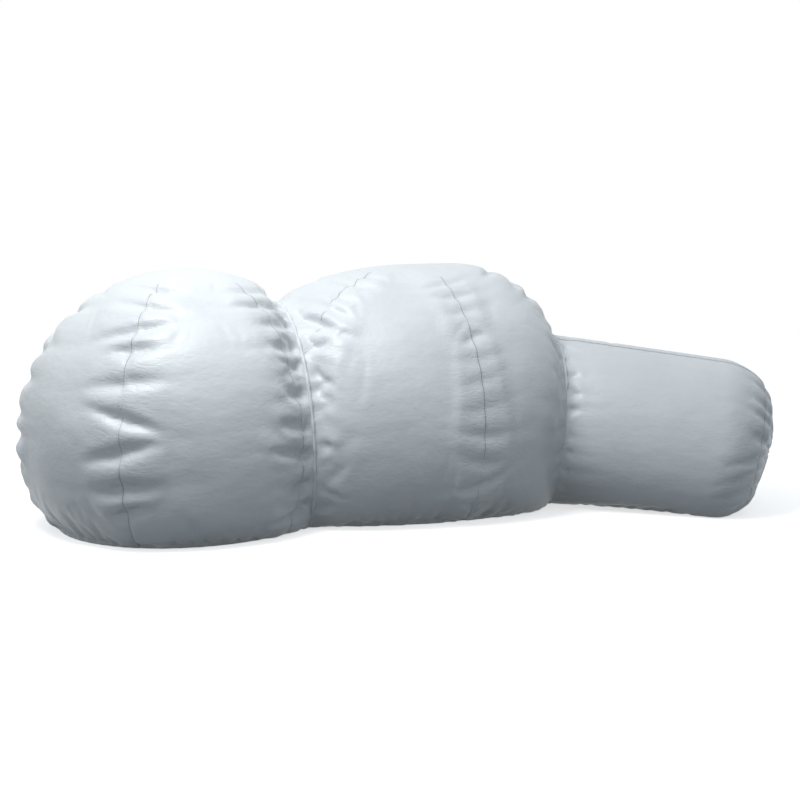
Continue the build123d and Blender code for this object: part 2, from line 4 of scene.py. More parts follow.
import bpy
import numpy as np
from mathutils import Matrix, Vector


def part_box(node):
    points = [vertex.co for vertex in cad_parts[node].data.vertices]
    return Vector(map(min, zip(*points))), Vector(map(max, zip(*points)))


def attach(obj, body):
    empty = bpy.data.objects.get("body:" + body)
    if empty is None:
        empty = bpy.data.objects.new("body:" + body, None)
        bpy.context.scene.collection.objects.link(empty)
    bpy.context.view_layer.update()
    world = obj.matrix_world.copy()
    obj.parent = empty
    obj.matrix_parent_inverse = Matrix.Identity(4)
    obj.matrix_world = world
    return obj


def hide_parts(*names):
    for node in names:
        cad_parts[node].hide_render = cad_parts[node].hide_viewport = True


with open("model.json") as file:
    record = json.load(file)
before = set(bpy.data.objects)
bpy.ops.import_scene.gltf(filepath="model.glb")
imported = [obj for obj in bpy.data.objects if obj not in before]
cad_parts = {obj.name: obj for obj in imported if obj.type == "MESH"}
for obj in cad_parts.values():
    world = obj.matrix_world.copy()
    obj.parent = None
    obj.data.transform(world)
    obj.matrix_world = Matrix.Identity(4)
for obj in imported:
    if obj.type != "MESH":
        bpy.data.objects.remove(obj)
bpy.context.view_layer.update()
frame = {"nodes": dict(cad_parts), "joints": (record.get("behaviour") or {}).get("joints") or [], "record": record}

# ---- sizes of the snowman, in metres and degrees -------------------------------------------------------

LOWER_RADIUS = 1.028
LOWER_HEIGHT = 0.548
UPPER_RADIUS = 1.015
UPPER_HEIGHT = 0.613
UPPER_SIDE = 2.411  # radius of the barrel's side towards the neck
UPPER_FRONT = 1.057
UPPER_ROUND = 0.748
TUBE_RADIUS = 0.608
TUBE_LENGTH = 1.910
TUBE_ROUND = 0.319
TUBE_BULGE = 0.088
TUBE_START = 0.581
TUBE_HEADING = -14.4
TUBE_DROOP = 7.8
GORES = 6
LOWER_FIRST_SEAM = 22.0
UPPER_FIRST_SEAM = -5.0
CROWN_RADIUS = 0.46
END_PANEL_RADIUS = 0.45
LONG_SEAM_LEAN = 12.0

SEAM_STEPS = 40  # cells across one gore
CLOTH = 0.001
EXCESS = 0.045  # share of cloth left over between the tight seams
WALL_WEIGHT = 0.55  # how tight the cylinder's plain wall is, from 0, slack, to 1
PRESSURE = 4.0
FRAMES = 20
MOST_MOVE = 0.07
BILLOW = 0.022  # how far the free cloth swells, taken off again afterwards
TUCK = 0.08  # how far a wall runs on inside the chamber that it is sewn to
SEAM_HOLD = 0.02
FAN_HOLE = 0.125
FAN_CLEAR = 0.19
ZIP_CLEAR = 0.06
ZIP_SLOT = 0.010
ZIP_LENGTH = 0.700
ZIP_STATION = 1.180
FOLD_PITCH = 0.165  # between the folds that cross a gore seam
FOLD_REACH = 0.2
FOLD_DEPTH = 0.042
FOLD_KEPT = 0.35  # share of each fold pressed in again once the cloth has swelled
TAPE_GAP = 0.002
random = np.random.default_rng(7)


def centre_of(node):
    low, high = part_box(node)
    return (np.array(low) + np.array(high)) / 2


# ---- places, from the frame ----------------------------------------------------------------------------

lower_middle = centre_of("lower_crown_patch")
upper_middle = centre_of("upper_crown_patch")
LOWER = np.array([lower_middle[0], lower_middle[1], LOWER_HEIGHT])
UPPER = np.array([upper_middle[0], upper_middle[1], UPPER_HEIGHT])
SPACING = float(np.linalg.norm(UPPER - LOWER))
CHAIN = (UPPER - LOWER) / SPACING
SIDE_DROP = UPPER_RADIUS - UPPER_SIDE
UP = np.array([0.0, 0.0, 1.0])


def heading(angle, dip=0.0):
    level = math.cos(math.radians(dip))
    turn = math.radians(angle)
    return np.array([level * math.cos(turn), level * math.sin(turn), -math.sin(math.radians(dip))])


TUBE = heading(TUBE_HEADING, TUBE_DROOP)
TUBE_BASE = UPPER + CHAIN * TUBE_START
TUBE_SIDE = np.cross(UP, TUBE) / np.linalg.norm(np.cross(UP, TUBE))
TUBE_TOP = np.cross(TUBE, TUBE_SIDE)
joints = {joint["name"]: joint for joint in frame["joints"]}
FAN_SEAT = np.array(joints["impeller_spin"]["pos_m"])
FAN_OUT = np.array(joints["impeller_spin"]["axis"])


# ---- how deep a point lies inside each chamber: negative outside ---------------------------------------


def along_and_out(points, origin, axis):
    """Distance along an axis, and away from it."""
    offset = points - origin
    along = offset @ axis
    return along, np.linalg.norm(offset - along[:, None] * axis, axis=1)


def depth_in_lower(points):
    return LOWER_RADIUS - np.linalg.norm(points - LOWER, axis=1)


def depth_in_upper(points):
    along, out = along_and_out(points, UPPER, CHAIN)
    shoulder = UPPER_FRONT - UPPER_ROUND
    side = UPPER_SIDE - np.hypot(along, out - SIDE_DROP)
    corner_out = np.maximum(out - (UPPER_RADIUS - UPPER_ROUND), 0)
    corner = UPPER_ROUND - np.hypot(np.maximum(along - shoulder, 0), corner_out)
    return np.where(along < 0, side, corner)


def depth_in_tube(points):
    along, out = along_and_out(points, TUBE_BASE, TUBE)
    shoulder = TUBE_LENGTH - TUBE_ROUND
    corner_out = np.maximum(out - (TUBE_RADIUS - TUBE_ROUND), 0)
    corner = TUBE_ROUND - np.hypot(np.maximum(along - shoulder, 0), corner_out)
    return np.minimum(corner, along + TUBE_RADIUS)


def reach(depth, origin, directions):
    """How far each direction runs from the origin before it leaves the chamber."""
    near = np.zeros(len(directions))
    far = np.full(len(directions), 3.0)
    for _ in range(40):
        half = (near + far) / 2
        inside = depth(origin + directions * half[:, None]) > 0
        near = np.where(inside, half, near)
        far = np.where(inside, far, half)
    return near


# ---- small mesh helpers --------------------------------------------------------------------------------


def only(piece):
    """Make one object active, and nothing else selected."""
    if bpy.context.mode != "OBJECT":
        bpy.ops.object.mode_set(mode="OBJECT")
    bpy.ops.object.select_all(action="DESELECT")
    piece.select_set(True)
    bpy.context.view_layer.objects.active = piece


def points_of(piece):
    flat = np.empty(len(piece.data.vertices) * 3)
    piece.data.vertices.foreach_get("co", flat)
    return flat.reshape(-1, 3)


def set_points(piece, points):
    piece.data.vertices.foreach_set("co", np.ascontiguousarray(points, dtype=float).ravel())
    piece.data.update()


def face_middles(piece):
    flat = np.empty(len(piece.data.polygons) * 3)
    piece.data.polygons.foreach_get("center", flat)
    return flat.reshape(-1, 3)


def delete_faces(piece, doomed):
    only(piece)
    piece.data.polygons.foreach_set("select", doomed)
    piece.data.vertices.foreach_set("select", np.zeros(len(piece.data.vertices), dtype=bool))
    piece.data.edges.foreach_set("select", np.zeros(len(piece.data.edges), dtype=bool))
    bpy.ops.object.mode_set(mode="EDIT")
    bpy.ops.mesh.select_mode(type="FACE")
    bpy.ops.mesh.delete(type="FACE")
    bpy.ops.object.mode_set(mode="OBJECT")


# ---- blowing up a chamber: cloth with spare width between tight seams ----------------------------------


def lens_folds(along, away, length, pitch, reach, depth):
    """How deep the long narrow folds are that cross a tight seam."""
    fold = np.zeros(len(along))
    place = pitch * 0.4
    while place < length:
        lean = random.uniform(-0.3, 0.3)
        half_width = pitch * random.uniform(0.15, 0.24)
        run = reach * random.uniform(0.6, 1.4)
        across = (along - place - lean * away) / half_width
        fold += depth * random.uniform(0.6, 1.2) * np.exp(-(across**2) - (away / run) ** 2)
        place += pitch * random.uniform(0.75, 1.3)
    return fold


def blow_up(piece, held, tightness, dent, normal):
    """Cloth simulation under pressure. Held points stay put, and tight ones have no spare cloth."""
    start = points_of(piece)
    dent = np.where(held, 0, dent)
    set_points(piece, start - normal * dent[:, None])
    only(piece)
    group = piece.vertex_groups.new(name="held")
    group.add(np.nonzero(held)[0].tolist(), 1.0, "REPLACE")
    group = piece.vertex_groups.new(name="tight")
    for level in np.unique(tightness):
        group.add(np.nonzero(tightness == level)[0].tolist(), float(level), "REPLACE")
    modifier = piece.modifiers.new("cloth", "CLOTH")
    cloth = modifier.settings
    cloth.quality = 4
    cloth.mass = 0.3
    cloth.tension_stiffness = 40
    cloth.compression_stiffness = 40
    cloth.shear_stiffness = 10
    cloth.bending_stiffness = 0.5
    cloth.air_damping = 1
    cloth.use_pressure = True
    cloth.uniform_pressure_force = PRESSURE
    cloth.vertex_group_mass = "held"
    cloth.vertex_group_shrink = "tight"
    cloth.shrink_min = -EXCESS
    cloth.shrink_max = 0.02
    cloth.effector_weights.gravity = 0
    modifier.collision_settings.use_collision = False
    for step in range(1, FRAMES + 1):
        bpy.context.scene.frame_set(step)
    bpy.ops.object.modifier_apply(modifier=modifier.name)
    bpy.context.scene.frame_set(1)
    moved = points_of(piece) - start
    length = np.linalg.norm(moved, axis=1)
    moved *= np.minimum(1, MOST_MOVE / np.maximum(length, 1e-9))[:, None]
    moved -= normal * (BILLOW * np.minimum(1, length / 0.02) + FOLD_KEPT * dent)[:, None]
    result = start + moved
    result[held] = start[held]
    result[:, 2] = np.maximum(result[:, 2], 0)
    set_points(piece, result)
    piece.vertex_groups.clear()


def take_strip(piece, chosen, name, shift):
    """Copy a row of faces off a cloth as a strip of its own, a little under or over it."""
    only(piece)
    piece.data.vertices.foreach_set("select", np.zeros(len(piece.data.vertices), dtype=bool))
    piece.data.edges.foreach_set("select", np.zeros(len(piece.data.edges), dtype=bool))
    piece.data.polygons.foreach_set("select", chosen)
    bpy.ops.object.mode_set(mode="EDIT")
    bpy.ops.mesh.select_mode(type="FACE")
    bpy.ops.mesh.duplicate()
    bpy.ops.mesh.separate(type="SELECTED")
    bpy.ops.object.mode_set(mode="OBJECT")
    strip = [part for part in bpy.context.selected_objects if part is not piece][0]
    strip.name = "cloth_" + name
    strip.data.materials.clear()
    flat = np.empty(len(strip.data.vertices) * 3)
    strip.data.vertices.foreach_get("normal", flat)
    set_points(strip, points_of(strip) + flat.reshape(-1, 3) * shift)
    return strip


def thicken(piece):
    only(piece)
    wall = piece.modifiers.new("wall", "SOLIDIFY")
    wall.thickness = CLOTH
    wall.offset = -1
    bpy.ops.object.modifier_apply(modifier=wall.name)
    bpy.ops.object.shade_smooth_by_angle(angle=math.radians(40))


def mark(piece, name, values):
    """Keep one number for each point, for the cloth's finish to read."""
    attribute = piece.data.attributes.new(name, "FLOAT", "POINT")
    attribute.data.foreach_set("value", np.ascontiguousarray(values, dtype=float))


def smooth_once(piece):
    only(piece)
    smooth = piece.modifiers.new("smooth", "SUBSURF")
    smooth.levels = 1
    smooth.render_levels = 1
    bpy.ops.object.modifier_apply(modifier=smooth.name)
    settled = points_of(piece)
    settled[:, 2] = np.maximum(settled[:, 2], 0)
    set_points(piece, settled)
    bpy.ops.object.mode_set(mode="EDIT")
    bpy.ops.mesh.select_all(action="SELECT")
    bpy.ops.mesh.normals_make_consistent(inside=False)
    bpy.ops.object.mode_set(mode="OBJECT")


def cut_panels(piece, names, slots):
    """One object for each cloth panel."""
    for name in names:
        piece.data.materials.append(bpy.data.materials.new(name))
    piece.data.polygons.foreach_set("material_index", slots.astype(np.int32))
    only(piece)
    bpy.ops.object.mode_set(mode="EDIT")
    bpy.ops.mesh.select_all(action="SELECT")
    bpy.ops.mesh.separate(type="MATERIAL")
    bpy.ops.object.mode_set(mode="OBJECT")
    panels = {}
    for part in list(bpy.context.selected_objects):
        label = part.data.materials[part.data.polygons[0].material_index].name
        part.name = "cloth_" + label
        part.data.materials.clear()
        panels[label] = part
    for name in names:
        bpy.data.materials.remove(bpy.data.materials[name])
    return panels


def seam_gap(points, origin, first_seam):
    """Distance to the nearest gore seam, which gore a point is on, and the distance from the ball's axis."""
    offset = points - origin
    out = np.hypot(offset[:, 0], offset[:, 1])
    turn = (np.degrees(np.arctan2(offset[:, 1], offset[:, 0])) - first_seam) % 360
    step = 360 / GORES
    within = turn % step
    gap = out * np.radians(np.minimum(within, step - within))
    gore = (turn // step).astype(int)
    return gap, gore, out


def seam_folds(points, origin, first_seam):
    """Folds across every gore seam of a ball."""
    offset = points - origin
    size = np.linalg.norm(offset, axis=1)
    down = size * np.arccos(np.clip(offset[:, 2] / size, -1, 1))
    fold = np.zeros(len(points))
    for k in range(GORES):
        seam = heading(first_seam + 360 / GORES * k)
        beside = np.cross(UP, seam)
        near = offset @ seam > 0
        one = lens_folds(down - 0.5, offset @ beside, 1.6, FOLD_PITCH, FOLD_REACH, FOLD_DEPTH)
        fold += one * near
    return fold


def neck_folds(points, outside, origin, axis, radius):
    """Gathers that run away from the seam between two chambers."""
    across = points - origin
    side = np.cross(UP, axis) / np.linalg.norm(np.cross(UP, axis))
    over = np.cross(axis, side)
    around = (np.arctan2(across @ side, across @ over) + math.pi) * radius
    return lens_folds(around, outside, 2 * math.pi * radius, 0.13, 0.17, 0.02)


def ball(name, origin, depth, first_seam, neighbours, necks, keep_still, fan_hole):
    """A gored ball: a round mesh pushed out to the chamber's shape, puckered at its seams."""
    segments = GORES * SEAM_STEPS
    bpy.ops.object.select_all(action="DESELECT")
    bpy.ops.mesh.primitive_uv_sphere_add(segments=segments, ring_count=segments // 2, radius=1)
    piece = bpy.context.active_object
    piece.name = name
    first = math.radians(first_seam)
    turn = np.array([[math.cos(first), math.sin(first), 0], [-math.sin(first), math.cos(first), 0], [0, 0, 1]])
    directions = points_of(piece) @ turn
    set_points(piece, origin + directions * reach(depth, origin, directions)[:, None])
    # the crown is a patch of square cells, so its top has no pole
    middles = face_middles(piece) - origin
    crown = (np.hypot(middles[:, 0], middles[:, 1]) < CROWN_RADIUS) & (middles[:, 2] > 0)
    delete_faces(piece, crown)
    bpy.ops.object.mode_set(mode="EDIT")
    bpy.ops.mesh.select_all(action="DESELECT")
    bpy.ops.mesh.select_mode(type="VERT")
    bpy.ops.mesh.select_non_manifold()
    bpy.ops.mesh.fill_grid(span=segments // 4)
    bpy.ops.object.mode_set(mode="OBJECT")
    shaped = points_of(piece)
    directions = (shaped - origin) / np.linalg.norm(shaped - origin, axis=1)[:, None]
    shaped = origin + directions * reach(depth, origin, directions)[:, None]
    shaped[:, 2] = np.maximum(shaped[:, 2], 0)
    set_points(piece, shaped)
    # no cloth deep inside the next chamber, nor over the fan's opening
    middles = face_middles(piece)
    hidden = np.zeros(len(middles), dtype=bool)
    for other in neighbours:
        hidden |= other(middles) > TUCK
    if fan_hole:
        hidden |= fan_distance(middles) < FAN_HOLE
    delete_faces(piece, hidden)
    shaped = points_of(piece)
    gap, gore, out = seam_gap(shaped, origin, first_seam)
    held = keep_still(shaped)
    for other in neighbours:
        held |= other(shaped) > -SEAM_HOLD
    low = shaped[:, 2] < 0.001
    foot = np.abs(depth(shaped + np.array([0, 0, -0.001])))
    held |= low & (foot > 0.03)
    normal = (shaped - origin) / np.linalg.norm(shaped - origin, axis=1)[:, None]
    tight = ((gap < 0.015) & (out > CROWN_RADIUS + 0.02) & ~low).astype(float)
    dent = seam_folds(shaped, origin, first_seam) * (out > CROWN_RADIUS)
    for other, base, axis, radius in necks:
        dent += neck_folds(shaped, -other(shaped), base, axis, radius)
    dent *= np.clip(shaped[:, 2] / 0.1, 0, 1)
    blow_up(piece, held, tight, dent, normal)
    smooth_once(piece)
    middles = face_middles(piece)
    gap, gore, out = seam_gap(middles, origin, first_seam)
    column = math.pi / (GORES * SEAM_STEPS)
    wall = (middles[:, 2] > 0.002) & ((out > CROWN_RADIUS) | (middles[:, 2] < origin[2]))
    low_middle = middles[:, 2] < 0.0015
    made = {}
    turn = (np.arctan2(middles[:, 1] - origin[1], middles[:, 0] - origin[0]) - first) / (2 * math.pi)
    nearest_seam = np.round(turn * GORES).astype(int) % GORES
    for k in range(GORES):
        chosen = (nearest_seam == k) & wall & (gap < out * column)
        label = f"{name}_seam_tape_{k + 1}"
        if chosen.any():
            made[label] = take_strip(piece, chosen, label, -TAPE_GAP)
    names = [f"{name}_gore_{k + 1}" for k in range(GORES)] + [f"{name}_crown_patch", f"{name}_floor_panel"]
    slots = gore.copy()
    slots[(out < CROWN_RADIUS) & (middles[:, 2] > origin[2])] = GORES
    slots[low_middle] = GORES + 1
    made.update(cut_panels(piece, names, slots))
    for part in made.values():
        thicken(part)
        points = points_of(part)
        gap, gore, out = seam_gap(points, origin, first_seam)
        mark(part, "seam_gap", np.where(out > CROWN_RADIUS - 0.003, gap, 1))
    return made


def fan_distance(points):
    along, out = along_and_out(points, FAN_SEAT, FAN_OUT)
    return np.where(np.abs(along) < 0.25, out, 9)


def near_fan(points):
    return fan_distance(points) < FAN_CLEAR


def nowhere(points):
    return np.zeros(len(points), dtype=bool)


cloth = {}
NECK_RADIUS = 0.83
cloth.update(
    ball(
        "lower",
        LOWER,
        depth_in_lower,
        LOWER_FIRST_SEAM,
        [depth_in_upper],
        [(depth_in_upper, LOWER, CHAIN, NECK_RADIUS)],
        near_fan,
        True,
    )
)
cloth.update(
    ball(
        "upper",
        UPPER,
        depth_in_upper,
        UPPER_FIRST_SEAM,
        [depth_in_lower, depth_in_tube],
        [(depth_in_lower, LOWER, CHAIN, NECK_RADIUS), (depth_in_tube, TUBE_BASE, TUBE, TUBE_RADIUS)],
        nowhere,
        False,
    )
)


# ---- the cylinder --------------------------------------------------------------------------------------

RIM_ALONG = TUBE_LENGTH - TUBE_ROUND + math.sqrt(TUBE_ROUND**2 - (END_PANEL_RADIUS - TUBE_RADIUS + TUBE_ROUND) ** 2)
LONG_SEAM = TUBE_TOP * math.cos(math.radians(LONG_SEAM_LEAN)) - TUBE_SIDE * math.sin(math.radians(LONG_SEAM_LEAN))
ZIP_MIDDLE = TUBE_BASE + TUBE * ZIP_STATION + TUBE_SIDE * TUBE_RADIUS


def long_seam_gap(points):
    along, out = along_and_out(points, TUBE_BASE, TUBE)
    offset = points - TUBE_BASE
    beside = np.cross(TUBE, LONG_SEAM)
    return np.where(offset @ LONG_SEAM > 0, np.abs(offset @ beside), 1), along, out


def cut_zip_slot(piece):
    """Cut a straight slot through the wall, a little wider than the zip's coils."""
    for place, way in (
        (ZIP_MIDDLE + TUBE_TOP * ZIP_SLOT / 2, TUBE_TOP),
        (ZIP_MIDDLE - TUBE_TOP * ZIP_SLOT / 2, TUBE_TOP),
        (ZIP_MIDDLE + TUBE * ZIP_LENGTH / 2, TUBE),
        (ZIP_MIDDLE - TUBE * ZIP_LENGTH / 2, TUBE),
    ):
        offset = face_middles(piece) - ZIP_MIDDLE
        near = (np.abs(offset @ TUBE) < 0.4) & (np.abs(offset @ TUBE_TOP) < 0.05) & (offset @ TUBE_SIDE > -0.05)
        piece.data.vertices.foreach_set("select", np.zeros(len(piece.data.vertices), dtype=bool))
        piece.data.edges.foreach_set("select", np.zeros(len(piece.data.edges), dtype=bool))
        piece.data.polygons.foreach_set("select", near)
        only(piece)
        bpy.ops.object.mode_set(mode="EDIT")
        bpy.ops.mesh.select_mode(type="FACE")
        bpy.ops.mesh.bisect(plane_co=place, plane_no=way)
        bpy.ops.object.mode_set(mode="OBJECT")
    offset = face_middles(piece) - ZIP_MIDDLE
    slot = (np.abs(offset @ TUBE) < ZIP_LENGTH / 2) & (np.abs(offset @ TUBE_TOP) < ZIP_SLOT / 2)
    delete_faces(piece, slot & (offset @ TUBE_SIDE > -0.05))


def tube_piece():
    rings = 100
    around = 144
    bpy.ops.object.select_all(action="DESELECT")
    bpy.ops.mesh.primitive_grid_add(x_subdivisions=rings, y_subdivisions=around, size=1)
    piece = bpy.context.active_object
    piece.name = "hat"
    grid = points_of(piece) + 0.5
    start = -0.2
    straight = TUBE_LENGTH - TUBE_ROUND - start
    bend = TUBE_ROUND * math.pi / 2
    flat = TUBE_RADIUS - TUBE_ROUND
    total = straight + bend + flat * 0.75
    run = grid[:, 0] * total
    angle = np.clip((run - straight) / TUBE_ROUND, 0, math.pi / 2)
    inward = np.maximum(run - straight - bend, 0)
    along = start + np.minimum(run, straight) + TUBE_ROUND * np.sin(angle)
    out = TUBE_RADIUS - TUBE_ROUND + TUBE_ROUND * np.cos(angle) - inward
    along = along + TUBE_BULGE * (1 - (out / flat) ** 2) * (inward > 0)
    turn = 2 * math.pi * grid[:, 1]
    shaped = (
        TUBE_BASE
        + along[:, None] * TUBE
        + (out * np.cos(turn))[:, None] * LONG_SEAM
        + (out * np.sin(turn))[:, None] * np.cross(TUBE, LONG_SEAM)
    )
    set_points(piece, shaped)
    only(piece)
    bpy.ops.object.mode_set(mode="EDIT")
    bpy.ops.mesh.select_mode(type="VERT")
    bpy.ops.mesh.select_all(action="SELECT")
    bpy.ops.mesh.remove_doubles(threshold=0.001)
    bpy.ops.mesh.select_all(action="DESELECT")
    bpy.ops.object.mode_set(mode="OBJECT")
    along, out = along_and_out(points_of(piece), TUBE_BASE, TUBE)
    rim = (out < flat * 0.25 + 0.01) & (along > TUBE_LENGTH)
    piece.data.vertices.foreach_set("select", rim)
    bpy.ops.object.mode_set(mode="EDIT")
    bpy.ops.mesh.fill_grid(span=around // 4)
    bpy.ops.mesh.select_all(action="SELECT")
    bpy.ops.mesh.normals_make_consistent(inside=False)
    bpy.ops.object.mode_set(mode="OBJECT")
    shaped = points_of(piece)
    along, out = along_and_out(shaped, TUBE_BASE, TUBE)
    cap = (out < flat * 0.25) & (along > TUBE_LENGTH)
    shaped[cap] += (TUBE_LENGTH + TUBE_BULGE * (1 - (out[cap] / flat) ** 2) - along[cap])[:, None] * TUBE
    shaped[:, 2] = np.maximum(shaped[:, 2], 0)
    set_points(piece, shaped)
    delete_faces(piece, depth_in_upper(face_middles(piece)) > TUCK)
    shaped = points_of(piece)
    gap, along, out = long_seam_gap(shaped)
    core = TUBE_BASE + np.minimum(along, TUBE_LENGTH - TUBE_ROUND)[:, None] * TUBE
    normal = (shaped - core) / np.maximum(np.linalg.norm(shaped - core, axis=1), 1e-6)[:, None]
    from_zip = shaped - ZIP_MIDDLE
    near_zip = (np.abs(from_zip @ TUBE) < ZIP_LENGTH / 2 + ZIP_CLEAR) & (np.abs(from_zip @ TUBE_TOP) < ZIP_CLEAR)
    low = shaped[:, 2] < 0.001
    held = (depth_in_upper(shaped) > -SEAM_HOLD) | (near_zip & (from_zip @ TUBE_SIDE > -0.1))
    held |= low & (np.abs(depth_in_tube(shaped)) > 0.05)
    held |= (gap < 0.006) & (along < TUBE_LENGTH - 2 * TUBE_ROUND)
    tight = np.full(len(shaped), WALL_WEIGHT)
    tight[along > RIM_ALONG - 0.25] = 0.25
    tight[(np.abs(along - RIM_ALONG) < 0.012) & ~low] = 1
    around_rim = (np.arctan2(from_zip @ TUBE_SIDE + TUBE_RADIUS, from_zip @ TUBE_TOP) + math.pi) * TUBE_RADIUS
    dent = lens_folds(around_rim, along - RIM_ALONG, 2 * math.pi * TUBE_RADIUS, 0.16, 0.1, 0.03)
    dent += neck_folds(shaped, -depth_in_upper(shaped), TUBE_BASE, TUBE, TUBE_RADIUS)
    dent *= np.clip(shaped[:, 2] / 0.1, 0, 1)
    blow_up(piece, held, tight, dent, normal)
    smooth_once(piece)
    middles = face_middles(piece)
    gap, along, out = long_seam_gap(middles)
    chosen = (gap < 0.016) & (along < RIM_ALONG) & (depth_in_upper(middles) < 0.03)
    made = {"hat_long_seam_tape": take_strip(piece, chosen, "hat_long_seam_tape", TAPE_GAP)}
    cut_zip_slot(piece)
    middles = face_middles(piece)
    along, out = along_and_out(middles, TUBE_BASE, TUBE)
    slots = (along > RIM_ALONG).astype(int)
    made.update(cut_panels(piece, ["hat_tube_wall", "hat_end_panel"], slots))
    for part in made.values():
        thicken(part)
        gap, along, out = long_seam_gap(points_of(part))
        edge = np.abs(np.abs(gap) - 0.016)
        mark(part, "seam_gap", np.minimum(np.where(along < RIM_ALONG, edge, 1), np.abs(along - RIM_ALONG)))
    return made


cloth.update(tube_piece())


# ---- bindings in the creases between the chambers ------------------------------------------------------


def binding(name, points, radius):
    """A rolled cloth edge that follows the crease, thicker and thinner where it is gathered."""
    data = bpy.data.curves.new(name, "CURVE")
    data.dimensions = "3D"
    data.bevel_depth = radius
    data.bevel_resolution = 3
    data.use_fill_caps = True
    line = data.splines.new("POLY")
    line.points.add(len(points) - 1)
    for k, (spot, point) in enumerate(zip(line.points, points)):
        spot.co = (*point, 1)
        spot.radius = 1 + 0.25 * math.sin(k * 1.1) + 0.15 * math.sin(k * 2.7)
    piece = bpy.data.objects.new(name, data)
    bpy.context.scene.collection.objects.link(piece)
    only(piece)
    bpy.ops.object.convert(target="MESH")
    bpy.ops.object.shade_smooth()
    return bpy.context.active_object


def crease(origin, axis, depth_a, depth_b, steps=220):
    """Points where two chambers meet, found along rays across the axis, from ground to ground."""
    side = np.cross(UP, axis) / np.linalg.norm(np.cross(UP, axis))
    over = np.cross(axis, side)
    turn = np.linspace(-math.pi, math.pi, steps)
    ways = np.cos(turn)[:, None] * over + np.sin(turn)[:, None] * side
    low = np.full(steps, -0.6)
    high = np.full(steps, 1.4)
    for _ in range(40):
        middle = (low + high) / 2
        base = origin + middle[:, None] * axis
        width = np.zeros(steps)
        far = np.full(steps, 2.0)
        for _ in range(30):
            half = (width + far) / 2
            inside = depth_a(base + ways * half[:, None]) > 0
            width = np.where(inside, half, width)
            far = np.where(inside, far, half)
        within_b = depth_b(base + ways * width[:, None]) > 0
        high = np.where(within_b, middle, high)
        low = np.where(within_b, low, middle)
    points = origin + low[:, None] * axis + ways * width[:, None]
    return points[points[:, 2] > 0.012]


neck_line = crease(LOWER, CHAIN, depth_in_lower, depth_in_upper)
collar_line = crease(TUBE_BASE, -TUBE, depth_in_tube, depth_in_upper)
cloth["neck_band"] = binding("cloth_neck_band", neck_line, 0.011)
cloth["hat_collar_band"] = binding("cloth_hat_collar_band", collar_line, 0.011)
for name in ("neck_band", "hat_collar_band"):
    mark(cloth[name], "seam_gap", np.ones(len(cloth[name].data.vertices)))


# ---- shader maths --------------------------------------------------------------------------------------


class Value:
    """A number that varies over a surface. Its operators add Math nodes."""

    def __init__(self, tree, socket):
        self.tree = tree
        self.socket = socket

    def math(self, kind, *others, swap=False):
        node = self.tree.nodes.new("ShaderNodeMath")
        node.operation = kind
        terms = [self, *others]
        if swap:
            terms.reverse()
        for slot, term in zip(node.inputs, terms):
            if isinstance(term, Value):
                self.tree.links.new(term.socket, slot)
            else:
                slot.default_value = term
        return Value(self.tree, node.outputs[0])

    def __add__(self, other):
        return self.math("ADD", other)

    __radd__ = __add__

    def __mul__(self, other):
        return self.math("MULTIPLY", other)

    __rmul__ = __mul__

    def __sub__(self, other):
        return self.math("SUBTRACT", other)

    def __rsub__(self, other):
        return self.math("SUBTRACT", other, swap=True)

    def __truediv__(self, other):
        return self.math("DIVIDE", other)

    def smooth(self, low, high):
        node = self.tree.nodes.new("ShaderNodeMapRange")
        node.interpolation_type = "SMOOTHSTEP"
        self.tree.links.new(self.socket, node.inputs["Value"])
        node.inputs["From Min"].default_value = low
        node.inputs["From Max"].default_value = high
        return Value(self.tree, node.outputs["Result"])


class Finish:
    """One material: its tree, its shader, and short ways to add nodes."""

    def __init__(self, name, roughness=0.5, metallic=0.0):
        self.material = bpy.data.materials.new(name)
        self.material.use_nodes = True
        self.tree = self.material.node_tree
        self.shader = self.tree.nodes["Principled BSDF"]
        self.shader.inputs["Roughness"].default_value = roughness
        self.shader.inputs["Metallic"].default_value = metallic

    def node(self, kind, settings=(), **sockets):
        made = self.tree.nodes.new(kind)
        for key, value in dict(settings).items():
            setattr(made, key, value)
        for key, value in sockets.items():
            slot = made.inputs[key.replace("_", " ")]
            self.feed(slot, value)
        return made

    def feed(self, slot, value):
        if isinstance(value, Value):
            self.tree.links.new(value.socket, slot)
        elif isinstance(value, bpy.types.NodeSocket):
            self.tree.links.new(value, slot)
        else:
            slot.default_value = value

    def place(self, stretch=(1, 1, 1), turn=(0, 0, 0)):
        where = self.node("ShaderNodeTexCoord").outputs["Object"]
        moved = self.node("ShaderNodeMapping", Vector=where, Scale=stretch, Rotation=turn)
        return moved.outputs["Vector"]

    def noise(self, scale, detail=4.0, roughness=0.5, stretch=(1, 1, 1), turn=(0, 0, 0)):
        made = self.node(
            "ShaderNodeTexNoise",
            Vector=self.place(stretch, turn),
            Scale=scale,
            Detail=detail,
            Roughness=roughness,
        )
        return Value(self.tree, made.outputs["Fac"])

    def blend(self, factor, first, second):
        made = self.node("ShaderNodeMix", {"data_type": "RGBA"})
        self.feed(made.inputs[0], factor)
        self.feed(made.inputs[6], first)
        self.feed(made.inputs[7], second)
        return made.outputs[2]

    def bump(self, height, distance, strength=1.0, under=None):
        made = self.node("ShaderNodeBump", Strength=strength, Distance=distance, Height=height)
        if under is not None:
            self.feed(made.inputs["Normal"], under)
        return made.outputs["Normal"]

    def set(self, **sockets):
        for key, value in sockets.items():
            self.feed(self.shader.inputs[key.replace("_", " ")], value)
        return self


def grey(value, tint=(1, 1, 1)):
    return (value * tint[0], value * tint[1], value * tint[2], 1)


